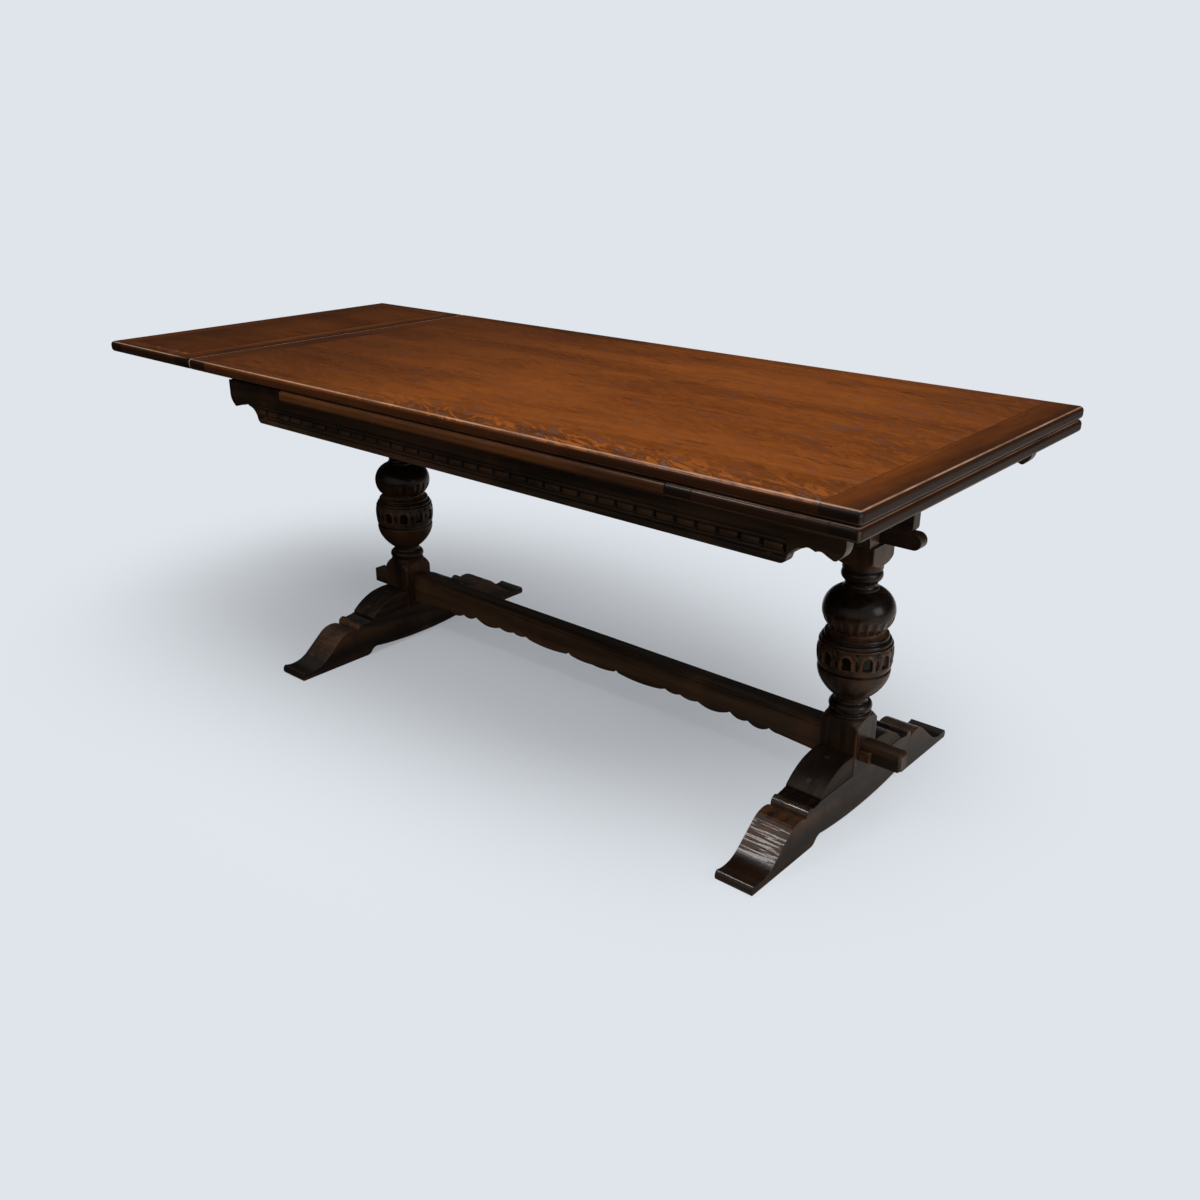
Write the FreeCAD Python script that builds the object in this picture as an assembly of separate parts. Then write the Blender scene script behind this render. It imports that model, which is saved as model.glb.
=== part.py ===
import FreeCAD, Part
import os

from FreeCAD import Vector

# Extending dining table of the draw-leaf kind, on two turned pillars with sledge feet.
# Millimetres, +Z up, +X along the table. The left leaf is drawn out, the right leaf is closed.
# Every piece is modelled about the middle of the main top and moved by TABLE_SHIFT when it is
# written, so that the origin is under the middle of the whole length, on the floor.

# Driving sizes of the tops
TABLE_HEIGHT = 762.0
TOP_LENGTH = 1736.0
TOP_WIDTH = 864.0
LEAF_LENGTH = 350.0
SLAB = 25.0
SLAB_GAP = 0.6
END_GAP = 1.0
EDGE_ROUND = 9.0
CORNER_ROUND = 9.0
LONG_BAND = 42.0
END_CLEAT = 70.0
LEAF_CLEAT = 52.0

# Driving sizes of the underframe
APRON_SETBACK = 67.0
APRON_THICK = 22.0
APRON_BOTTOM = 625.0
END_RAIL_IN = 667.0
RAIL_THICK = 22.0
RAIL_BOTTOM = 635.0
INNER_RAIL_X = 240.0
BEARER_WIDE = 70.0
BEARER_TOP = 664.0
TOP_RAIL_HALF = 769.0
TOP_RAIL_WIDE = 26.0
TOP_RAIL_BOTTOM = 562.0
TOP_RAIL_DEEP = 31.0
CENTRE_BEARER_HALF = 751.0

# Driving sizes of the trestles
PILLAR_X = 654.0
BLOCK = 81.0
BLOCK_TOP = 181.0
ROUND_LOW = 211.0
ROUND_HIGH = 513.0
CAPITAL_LOW = 535.0
CAPITAL_TOP = 558.0
FOOT_LENGTH = 766.0
FOOT_WIDE = 80.0
FOOT_TOP = 90.0
BRACKET_WIDE = 78.0
BRACKET_END = 157.0
STRETCHER_THICK = 30.0
STRETCHER_TOP = 174.0
STRETCHER_LOW = 98.0
TENON_LOW = 116.0
TENON_HIGH = 152.0
TENON_END = 777.0
TENON_BEVEL = 4.0
KEY_THICK = 22.0
KEY_TAPER = 6.0
KEY_Y = (-24.0, 38.0)
KEY_Z = (118.0, 140.0)

# Driving sizes of the draw-leaf runners, called lopers
LOPER_THICK = 26.0
LOPER_Y = 250.0
LOPER_OUT = 840.0
LOPER_IN = 100.0
NOTCH_FLOOR = 680.0
RUN_CLEAR = 0.4
NOTCH_SIDE = 0.5
STOP_CLEAR = 0.5
STOP_THICK = 12.0
STOP_LONG = 30.0
STOP_Z = (652.0, 680.0)

# Driving sizes of the pegs that guide the loose main top
GUIDE_WIDE = 18.0
GUIDE_CLEAR = 0.6
GUIDE_LOW = 690.0
GUIDES = [(x, y) for x in (-190.0, 190.0) for y in (-130.0, 130.0)]

# Worked-out levels and places
HALF_LENGTH = TOP_LENGTH / 2
HALF_WIDTH = TOP_WIDTH / 2
TOP_UNDER = TABLE_HEIGHT - SLAB
LEAF_TOP = TOP_UNDER - SLAB_GAP
LEAF_UNDER = LEAF_TOP - SLAB
FRAME_TOP = LEAF_UNDER - RUN_CLEAR
LEAF_INNER = HALF_LENGTH - LEAF_LENGTH
CENTRE_HALF = LEAF_INNER - END_GAP
DRAW = LEAF_LENGTH + END_GAP
RISE = SLAB + SLAB_GAP
SLOPE = RISE / DRAW
APRON_FACE = HALF_WIDTH - APRON_SETBACK
APRON_BACK = APRON_FACE - APRON_THICK
TABLE_SHIFT = DRAW / 2


def block(x_range, y_range, z_range):
    """A box from its three ranges."""
    size = [high - low for low, high in (x_range, y_range, z_range)]
    return Part.makeBox(*size, Vector(x_range[0], y_range[0], z_range[0]))


def middle_block(centre_x, wide, centre_y, deep, z_range):
    """A box about a middle point in plan."""
    return block((centre_x - wide / 2, centre_x + wide / 2),
                 (centre_y - deep / 2, centre_y + deep / 2), z_range)


def mirrored(shape, normal):
    """The shape seen in a mirror through the middle of the table."""
    return shape.mirror(Vector(0, 0, 0), Vector(*normal))


def bevelled(shape, size, chosen):
    """Chamfer the straight edges that the test picks."""
    edges = [edge for edge in shape.Edges if chosen(edge)]
    return shape.makeChamfer(size, edges)


def rounded(shape, radius, chosen):
    """Round the edges that the test picks."""
    edges = [edge for edge in shape.Edges if chosen(edge)]
    return shape.makeFillet(radius, edges)


class Outline:
    """A closed flat outline of lines and arcs, drawn in the XZ, YZ or RZ plane."""

    def __init__(self, plane, u, v):
        self.plane = plane
        self.first = self.last = self.place(u, v)
        self.edges = []

    def place(self, u, v):
        """A point of the plane in space."""
        return Vector(0, u, v) if self.plane == "YZ" else Vector(u, 0, v)

    def line(self, u, v):
        """A straight side to a point."""
        end = self.place(u, v)
        self.edges.append(Part.LineSegment(self.last, end).toShape())
        self.last = end
        return self

    def lines(self, *points):
        """Several straight sides."""
        for point in points:
            self.line(*point)
        return self

    def arc(self, through, end):
        """An arc through one point to another."""
        middle = self.place(*through)
        end = self.place(*end)
        self.edges.append(Part.Arc(self.last, middle, end).toShape())
        self.last = end
        return self

    def chords(self, through, end, sides):
        """An arc through one point to another, drawn in short straight sides."""
        arc = Part.Arc(self.last, self.place(*through), self.place(*end)).toShape()
        for point in arc.discretize(sides + 1)[1:]:
            self.line(point.x, point.z)
        return self

    def follow(self, steps):
        """Sides from a list: each has its end and, for an arc, a point on its way."""
        for through, end in steps:
            if through is None:
                self.line(*end)
            else:
                self.arc(through, end)
        return self

    def face(self):
        """The outline closed and filled."""
        if self.last.distanceToPoint(self.first) > 1e-6:
            self.edges.append(Part.LineSegment(self.last, self.first).toShape())
        return Part.Face(Part.Wire(self.edges))

    def slab(self, middle, thick):
        """The outline given a thickness about a middle, across its plane."""
        across = Vector(1, 0, 0) if self.plane == "YZ" else Vector(0, 1, 0)
        face = self.face()
        face.translate(across * (middle - thick / 2))
        return face.extrude(across * thick)

    def turned(self):
        """The outline turned round the Z axis."""
        return self.face().revolve(Vector(0, 0, 0), Vector(0, 0, 1), 360)


def symmetric(plane, half):
    """An outline from its right half, drawn from the middle of the bottom to the middle of the top."""
    shape = Outline(plane, *half[0][1]).follow(half[1:])
    for (through, _), (_, end) in zip(half[:0:-1], half[-2::-1]):
        middle = None if through is None else (-through[0], through[1])
        shape.follow([(middle, (-end[0], end[1]))])
    return shape


# The tops

def rounded_slab(x_range, z_range):
    """A full-width board whose outer edges and corners are rounded."""
    board = block(x_range, (-HALF_WIDTH, HALF_WIDTH), z_range)
    board = rounded(board, CORNER_ROUND, lambda edge: abs(edge.BoundBox.ZLength - SLAB) < 0.1)
    return rounded(board, EDGE_ROUND, lambda edge: edge.BoundBox.ZLength < 0.01)


def banded_board(board, x_range, z_range, cleats):
    """Cut a board into its panel, its two long bands and its cleats, left then right."""
    left, right = x_range[0] + cleats[0], x_range[1] - cleats[1]
    inner_y = HALF_WIDTH - LONG_BAND
    over = 5.0
    z_all = (z_range[0] - over, z_range[1] + over)
    parts = {
        "panel": block((left, right), (-inner_y, inner_y), z_all),
        "band_front": block((left, right), (-HALF_WIDTH - over, -inner_y), z_all),
        "band_back": block((left, right), (inner_y, HALF_WIDTH + over), z_all),
        "cleat_left": block((x_range[0] - over, left), (-HALF_WIDTH - over, HALF_WIDTH + over), z_all),
        "cleat_right": block((right, x_range[1] + over), (-HALF_WIDTH - over, HALF_WIDTH + over), z_all),
    }
    return {name: board.common(piece) for name, piece in parts.items()}


def main_top():
    """The loose main top, in its five glued pieces, with the square pegs that guide it."""
    x_range = (-HALF_LENGTH, HALF_LENGTH)
    z_range = (TOP_UNDER, TABLE_HEIGHT)
    board = rounded_slab(x_range, z_range)
    pieces = banded_board(board, x_range, z_range, (END_CLEAT, END_CLEAT))
    parts = {"main_top_" + name: piece for name, piece in pieces.items()}
    parts["guide_pegs"] = Part.Compound([
        middle_block(x, GUIDE_WIDE, y, GUIDE_WIDE, (GUIDE_LOW, TOP_UNDER)) for x, y in GUIDES])
    return parts


def leaf(side, drawn):
    """One leaf with its runners, closed or drawn. Side is 1 on the right and -1 on the left."""
    over = 30.0
    x_range = (LEAF_INNER, HALF_LENGTH)
    z_range = (LEAF_UNDER, LEAF_TOP)
    board = rounded_slab((LEAF_INNER - over, HALF_LENGTH), z_range)
    board = board.common(block(x_range, (-HALF_WIDTH, HALF_WIDTH), z_range))
    pieces = banded_board(board, x_range, z_range, (LEAF_CLEAT, LEAF_CLEAT))
    names = {"panel": "panel", "band_front": "band_front", "band_back": "band_back",
             "cleat_left": "cleat_inner", "cleat_right": "cleat_outer"}
    parts = {names[name]: piece for name, piece in pieces.items()}
    parts["loper_front"] = loper(-LOPER_Y)
    parts["loper_back"] = loper(LOPER_Y)
    parts["stop_blocks"] = Part.Compound([stop_block(-1), stop_block(1)])
    prefix = "right_leaf_" if side > 0 else "left_leaf_"
    placed = {}
    for name, piece in parts.items():
        if drawn:
            piece.translate(Vector(DRAW, 0, RISE))
        if side < 0:
            piece = mirrored(piece, (1, 0, 0))
        placed[prefix + name] = piece
    return placed


def loper_bottom(x):
    """The height of a closed right loper's tapered lower edge."""
    return NOTCH_FLOOR + RUN_CLEAR + (x - END_RAIL_IN) * SLOPE


def loper(y):
    """A tapered runner: full height under the leaf, stepped down under the centre board."""
    step = LEAF_INNER + END_GAP
    step_top = FRAME_TOP - RISE - RUN_CLEAR
    nose = 12.0
    shape = Outline("XZ", LOPER_IN, loper_bottom(LOPER_IN))
    shape.line(LOPER_OUT - nose, loper_bottom(LOPER_OUT - nose))
    shape.arc((LOPER_OUT - nose * 0.3, loper_bottom(LOPER_OUT) + nose * 0.25),
              (LOPER_OUT, loper_bottom(LOPER_OUT) + nose))
    shape.lines((LOPER_OUT, LEAF_UNDER), (step, LEAF_UNDER), (step, step_top), (LOPER_IN, step_top))
    return shape.slab(y, LOPER_THICK)


def stop_block(side):
    """A block glued to a runner's inner side, which meets the end rail when the leaf is drawn."""
    outer = END_RAIL_IN - DRAW - STOP_CLEAR
    inner_y = LOPER_Y - LOPER_THICK / 2 - STOP_THICK
    y_range = sorted((side * inner_y, side * (inner_y + STOP_THICK)))
    return block((outer - STOP_LONG, outer), y_range, STOP_Z)


def centre_board():
    """The fixed board between the closed leaves, with holes for the guide pegs."""
    over = 30.0
    z_range = (FRAME_TOP, LEAF_TOP)
    board = block((-CENTRE_HALF - over, CENTRE_HALF + over), (-HALF_WIDTH, HALF_WIDTH), z_range)
    board = rounded(board, EDGE_ROUND, lambda edge: edge.BoundBox.XLength > CENTRE_HALF)
    board = board.common(block((-CENTRE_HALF, CENTRE_HALF), (-HALF_WIDTH, HALF_WIDTH), z_range))
    hole = GUIDE_WIDE + 2 * GUIDE_CLEAR
    for x, y in GUIDES:
        board = board.cut(middle_block(x, hole, y, hole, (GUIDE_LOW, TABLE_HEIGHT)))
    return board


# The frame under the tops

# Right half of an apron: each side's end, and a point on its way where the side is an arc
APRON_FLAT = 696.0
APRON_HALF = 812.0
APRON_OUTLINE = [
    (None, (0, APRON_BOTTOM)),
    (None, (APRON_FLAT, APRON_BOTTOM)),
    ((APRON_FLAT + 8, 627.5), (709.0, 634.0)),
    ((720.0, 652.0), (738.0, 659.0)),
    ((746.0, 662.0), (752.0, 661.0)),
    (None, (760.0, 658.0)),
    ((767.0, 660.5), (774.0, 659.0)),
    ((782.0, 655.0), (789.0, 652.0)),
    ((796.0, 651.5), (800.0, 655.0)),
    ((809.0, 665.0), (APRON_HALF, 682.0)),
    (None, (APRON_HALF, FRAME_TOP)),
    (None, (0, FRAME_TOP)),
]


def apron(side):
    """A long apron with a shaped bracket end that carries on past each end rail."""
    middle = side * (APRON_FACE - APRON_THICK / 2)
    return symmetric("XZ", APRON_OUTLINE).slab(middle, APRON_THICK)


def notched_rail(x_range, bottom, notch_floor):
    """A cross rail between the aprons, notched at the top for the runners."""
    rail = block(x_range, (-APRON_BACK, APRON_BACK), (bottom, FRAME_TOP))
    half = LOPER_THICK / 2 + NOTCH_SIDE
    for y in (-LOPER_Y, LOPER_Y):
        rail = rail.cut(block(x_range, (y - half, y + half), (notch_floor, TABLE_HEIGHT)))
    return rail


def end_rail(side):
    """The rail on a head bearer at one end of the frame, which the runners slide through."""
    rail = notched_rail((END_RAIL_IN, END_RAIL_IN + RAIL_THICK), BEARER_TOP, NOTCH_FLOOR)
    return rail if side > 0 else mirrored(rail, (1, 0, 0))


def inner_rail(side):
    """The rail inside the frame that guides the runners' inner ends."""
    x_range = (INNER_RAIL_X - RAIL_THICK / 2, INNER_RAIL_X + RAIL_THICK / 2)
    rail = notched_rail(x_range, RAIL_BOTTOM, loper_bottom(x_range[0]) - 2 * RUN_CLEAR)
    return rail if side > 0 else mirrored(rail, (1, 0, 0))


def head_bearer(side):
    """The bearer across a pillar, arched below and morticed for the top rail."""
    web = 46.0
    shape = Outline("YZ", -web, CAPITAL_TOP)
    shape.line(web, CAPITAL_TOP)
    shape.arc((web + 10.0, 590.0), (web + 46.0, 612.0))
    shape.lines((web + 90.0, APRON_BOTTOM), (APRON_BACK, APRON_BOTTOM), (APRON_BACK, BEARER_TOP),
                (-APRON_BACK, BEARER_TOP), (-APRON_BACK, APRON_BOTTOM), (-web - 90.0, APRON_BOTTOM),
                (-web - 46.0, 612.0))
    shape.arc((-web - 10.0, 590.0), (-web, CAPITAL_TOP))
    bearer = shape.slab(side * PILLAR_X, BEARER_WIDE)
    mortice = middle_block(side * PILLAR_X, BLOCK * 2, 0, TOP_RAIL_WIDE, (TOP_RAIL_BOTTOM, RAIL_BOTTOM))
    return bearer.cut(mortice)


def top_rail():
    """The long rail through both head bearers, with rounded ends."""
    radius = TOP_RAIL_DEEP / 2
    low, high = TOP_RAIL_BOTTOM, TOP_RAIL_BOTTOM + TOP_RAIL_DEEP
    flat = TOP_RAIL_HALF - radius
    shape = Outline("XZ", -flat, low)
    shape.line(flat, low)
    shape.arc((TOP_RAIL_HALF, low + radius), (flat, high))
    shape.line(-flat, high)
    shape.arc((-TOP_RAIL_HALF, low + radius), (-flat, low))
    return shape.slab(0, TOP_RAIL_WIDE)


def centre_bearer():
    """The bearer that lies on the top rail and carries the cross rails."""
    low = TOP_RAIL_BOTTOM + TOP_RAIL_DEEP
    corner = 10.0
    flat = CENTRE_BEARER_HALF - corner
    shape = Outline("XZ", -flat, low)
    shape.line(flat, low)
    shape.arc((flat + corner * 0.7, low + corner * 0.3), (CENTRE_BEARER_HALF, low + corner))
    shape.lines((CENTRE_BEARER_HALF, RAIL_BOTTOM), (-CENTRE_BEARER_HALF, RAIL_BOTTOM),
                (-CENTRE_BEARER_HALF, low + corner))
    shape.arc((-flat - corner * 0.7, low + corner * 0.3), (-flat, low))
    return shape.slab(0, TOP_RAIL_WIDE)


def corner_blocks():
    """Triangular glue blocks where the end rails meet the aprons."""
    leg = 34.0
    blocks = []
    for side_x in (-1, 1):
        for side_y in (-1, 1):
            x, y = side_x * END_RAIL_IN, side_y * APRON_BACK
            corner = [Vector(x, y, BEARER_TOP), Vector(x - side_x * leg, y, BEARER_TOP),
                      Vector(x, y - side_y * leg, BEARER_TOP)]
            face = Part.Face(Part.makePolygon(corner + corner[:1]))
            blocks.append(face.extrude(Vector(0, 0, FRAME_TOP - BEARER_TOP)))
    return Part.Compound(blocks)


# The trestles

# A pillar's outline above its square block: each side's end and, for a curve, a point on its way
# and the number of short cones that stand for it
PILLAR_OUTLINE = [
    ((52.0, 196.0), (40.0, 203.0), 2),
    (None, (40.0, 210.0), 1),
    (None, (36.5, 212.0), 1),
    ((42.0, 222.0), (36.0, 232.0), 2),
    (None, (31.5, 235.0), 1),
    (None, (31.5, 243.0), 1),
    ((52.0, 261.0), (64.0, 279.0), 3),
    (None, (69.5, 302.0), 1),
    (None, (67.0, 305.0), 1),
    (None, (70.5, 310.0), 1),
    ((72.5, 333.0), (70.0, 357.0), 2),
    (None, (66.5, 359.0), 1),
    (None, (65.0, 366.0), 1),
    (None, (60.5, 368.0), 1),
    (None, (59.0, 375.0), 1),
    (None, (54.0, 378.0), 1),
    (None, (51.5, 384.0), 1),
    ((68.5, 423.0), (34.0, 464.0), 5),
    ((30.5, 474.0), (34.5, 482.0), 2),
    ((39.0, 493.0), (34.5, 502.0), 2),
    (None, (38.0, 504.0), 1),
    (None, (38.0, 514.0), 1),
]


def pillar(side):
    """A turned pillar: square block, rings, cup, bulb, ring and square capital, in one blank."""
    corner = BLOCK * 0.72
    shape = Outline("RZ", 0, FOOT_TOP)
    shape.lines((corner, FOOT_TOP), (corner, BLOCK_TOP))
    for through, end, sides in PILLAR_OUTLINE:
        if through is None:
            shape.line(*end)
        else:
            shape.chords(through, end, sides)
    shape.lines((corner, CAPITAL_LOW), (corner, CAPITAL_TOP), (0, CAPITAL_TOP))
    mask = middle_block(0, BLOCK, 0, BLOCK, (FOOT_TOP, CAPITAL_TOP))
    mask = mask.fuse(middle_block(0, BLOCK * 2, 0, BLOCK * 2, (ROUND_LOW, ROUND_HIGH)))
    blank = shape.turned().common(mask)
    mortice = middle_block(0, BLOCK * 2, 0, STRETCHER_THICK, (TENON_LOW, TENON_HIGH))
    blank = blank.cut(mortice)
    blank.translate(Vector(side * PILLAR_X, 0, 0))
    return blank


# Right half of a foot, from the arch under it round the toe to the seat of the pillar
FOOT_OUTLINE = [
    (None, (0, 6.0)),
    ((80.0, 8.5), (145.0, 15.0)),
    ((158.0, 15.0), (167.0, 9.0)),
    ((174.0, 2.5), (186.0, 0)),
    (None, (FOOT_LENGTH / 2 - 3, 0)),
    ((FOOT_LENGTH / 2, 10.0), (FOOT_LENGTH / 2 - 6, 19.0)),
    ((342.0, 16.5), (312.0, 30.0)),
    (None, (267.0, 67.0)),
    ((246.0, 79.0), (216.0, 79.0)),
    (None, (206.0, 74.0)),
    ((203.0, 86.0), (191.0, 90.0)),
    (None, (184.0, 86.0)),
    (None, (166.0, 88.0)),
    (None, (158.0, FOOT_TOP)),
    (None, (0, FOOT_TOP)),
]


def foot(side):
    """A sledge foot: on each half a toe, a rise, a hump and a bead, hollowed a little below."""
    return symmetric("YZ", FOOT_OUTLINE).slab(side * PILLAR_X, FOOT_WIDE)


def bracket(side_x, side_y):
    """The rounded bracket that braces a pillar's block on its foot."""
    inner = BLOCK / 2
    shape = Outline("YZ", side_y * BRACKET_END, FOOT_TOP)
    shape.line(side_y * BRACKET_END, FOOT_TOP + 5)
    shape.arc((side_y * 130.0, 115.0), (side_y * 98.0, 129.0))
    shape.arc((side_y * 72.0, 133.5), (side_y * inner, 134.0))
    shape.line(side_y * inner, FOOT_TOP)
    return shape.slab(side_x * PILLAR_X, BRACKET_WIDE)


BLOCK_FACE = PILLAR_X - BLOCK / 2
# Right half of the stretcher: swells with notches and beads between them, then the plain end
STRETCHER_OUTLINE = [
    (None, (0, 104.0)),
    ((34.0, 103.0), (66.0, 107.0)),
    (None, (73.0, 112.0)),
    (None, (80.0, 107.0)),
    ((140.0, 102.5), (200.0, 107.0)),
    (None, (213.0, 112.0)),
    ((234.0, 107.0), (254.0, 111.0)),
    ((280.0, 106.0), (302.0, 110.0)),
    ((334.0, 102.0), (386.0, 114.5)),
    ((412.0, 104.5), (431.0, 109.0)),
    ((455.0, 100.5), (484.0, 110.0)),
    ((493.0, 106.0), (506.0, 105.0)),
    (None, (BLOCK_FACE, STRETCHER_LOW)),
    (None, (BLOCK_FACE, STRETCHER_TOP)),
    (None, (0, STRETCHER_TOP)),
]


def stretcher():
    """The long board between the pillars, scalloped below, with tenons through both blocks."""
    board = symmetric("XZ", STRETCHER_OUTLINE).slab(0, STRETCHER_THICK)
    tenon = block((-TENON_END, TENON_END), (-STRETCHER_THICK / 2, STRETCHER_THICK / 2),
                  (TENON_LOW, TENON_HIGH))
    tenon = bevelled(tenon, TENON_BEVEL, lambda edge: edge.BoundBox.XLength < 0.01)
    board = board.fuse(tenon)
    for side in (-1, 1):
        board = board.cut(key(side))
    return board.removeSplitter()


def key(side):
    """The tapered key that locks a tenon outside its block, driven in from the back."""
    inner = PILLAR_X + BLOCK / 2
    front, back = KEY_Y
    low, high = KEY_Z
    points = [Vector(inner, front, low), Vector(inner + KEY_THICK, front, low),
              Vector(inner + KEY_THICK + KEY_TAPER, back, low), Vector(inner, back, low)]
    face = Part.Face(Part.makePolygon(points + points[:1]))
    wedge = face.extrude(Vector(0, 0, high - low))
    return wedge if side > 0 else mirrored(wedge, (1, 0, 0))


def all_parts():
    """Every piece of the table under its node's name."""
    parts = {}
    parts.update(main_top())
    parts.update(leaf(-1, drawn=True))
    parts.update(leaf(1, drawn=False))
    parts["centre_board"] = centre_board()
    parts["apron_front"] = apron(-1)
    parts["apron_back"] = apron(1)
    parts["corner_blocks"] = corner_blocks()
    parts["pillars"] = Part.Compound([pillar(-1), pillar(1)])
    parts["top_rail"] = top_rail()
    parts["centre_bearer"] = centre_bearer()
    parts["stretcher"] = stretcher()
    for side, name in ((-1, "left"), (1, "right")):
        parts["end_rail_" + name] = end_rail(side)
        parts["inner_rail_" + name] = inner_rail(side)
        parts["head_bearer_" + name] = head_bearer(side)
        parts["foot_" + name] = foot(side)
        parts["key_" + name] = key(side)
        parts["bracket_" + name + "_front"] = bracket(side, -1)
        parts["bracket_" + name + "_back"] = bracket(side, 1)
    return parts


def main():
    """Write one file per piece."""
    os.makedirs("parts", exist_ok=True)
    for name, shape in all_parts().items():
        shape.translate(Vector(TABLE_SHIFT, 0, 0))
        if not shape.isValid():
            print("not valid:", name)
        shape.exportStep(f"parts/{name}.step")
        print(f"{name:32s} {len(shape.Solids)} solids  {shape.Volume / 1000:9.1f} cm3")


main()
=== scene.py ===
"""Looks of a draw-leaf refectory table in dark oak, with a veneered top and carved, turned pillars."""

import logging
import math
from dataclasses import dataclass
from enum import Enum
from typing import Sequence

import bmesh
import bpy
from mathutils import Matrix, Vector, noise


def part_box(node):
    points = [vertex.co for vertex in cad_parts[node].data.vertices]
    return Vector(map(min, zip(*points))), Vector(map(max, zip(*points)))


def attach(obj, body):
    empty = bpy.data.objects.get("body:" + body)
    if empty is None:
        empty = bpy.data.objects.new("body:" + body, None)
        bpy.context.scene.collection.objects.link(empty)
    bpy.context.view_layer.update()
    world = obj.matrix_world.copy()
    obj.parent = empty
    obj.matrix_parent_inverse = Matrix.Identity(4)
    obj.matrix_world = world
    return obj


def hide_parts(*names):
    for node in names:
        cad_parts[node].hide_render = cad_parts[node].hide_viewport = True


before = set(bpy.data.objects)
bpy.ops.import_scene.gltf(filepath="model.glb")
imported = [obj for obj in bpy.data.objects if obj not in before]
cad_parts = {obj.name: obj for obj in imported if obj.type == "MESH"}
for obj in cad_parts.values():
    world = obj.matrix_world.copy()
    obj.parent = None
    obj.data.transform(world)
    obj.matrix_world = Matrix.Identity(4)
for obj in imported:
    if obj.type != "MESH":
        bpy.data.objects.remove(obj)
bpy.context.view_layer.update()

LOG = logging.getLogger("table")
MM = 0.001
SNAP = 0.01 * MM
NEAR = 0.05 * MM
PLUG_SUNK = 2.0 * MM
Colour = tuple[float, float, float]
Place = tuple[float, float, float]
Range = tuple[float, float]
Socket = bpy.types.NodeSocket
Inputs = dict[str | int, object]

WHITE = (1.0, 1.0, 1.0)
PORE_BLACK = (0.002, 0.0015, 0.001)
# Near black for the oak's hollows and darker places, and for the painted shade on the feet's toes and the
# brackets' tops.
DEEP_AND_SHADE_BLACK = (0.0015, 0.0012, 0.001)
JOINT_BLACK = (0.0035, 0.0030, 0.0022)
ORANGE_FLECK = (0.26, 0.075, 0.012)
SILVER_FLECK = (0.085, 0.058, 0.052)
DEEP_SHARE = 0.85


class Grain(Enum):
    """The way that the grain of a piece runs."""

    ALONG = "along"
    ACROSS = "across"
    UPRIGHT = "upright"


class Body(Enum):
    """The bodies that pieces ride on."""

    FRAME = "root"
    TOP = "main_top"
    LEAF = "right_leaf"


class Slot(Enum):
    """The record's finishes."""

    VENEER = "top_veneer"
    EDGING = "top_edging"
    CENTRE = "centre_board_oak"
    FRAME = "frame_oak"
    INNER = "inner_oak"
    PEG = "peg_oak"


@dataclass(frozen=True)
class Pattern:
    """Noise, with its repeats per metre along the grain, across it and up.

    Then come how many finer layers it has and how strong they are, how much it is distorted, where it starts,
    and how far it is turned in plan, in radians.
    """

    scale: Place
    detail: float = 3.0
    rough: float = 0.5
    bend: float = 0.0
    shift: Place = (0.0, 0.0, 0.0)
    slant: float = 0.0

    def turned(self, grain: Grain) -> Place:
        """Its repeats per metre on X, Y and Z, for a grain that runs one way."""
        along, across, up = self.scale
        return {Grain.ALONG: self.scale, Grain.ACROSS: (across, along, up),
                Grain.UPRIGHT: (up, across, along)}[grain]


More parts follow.
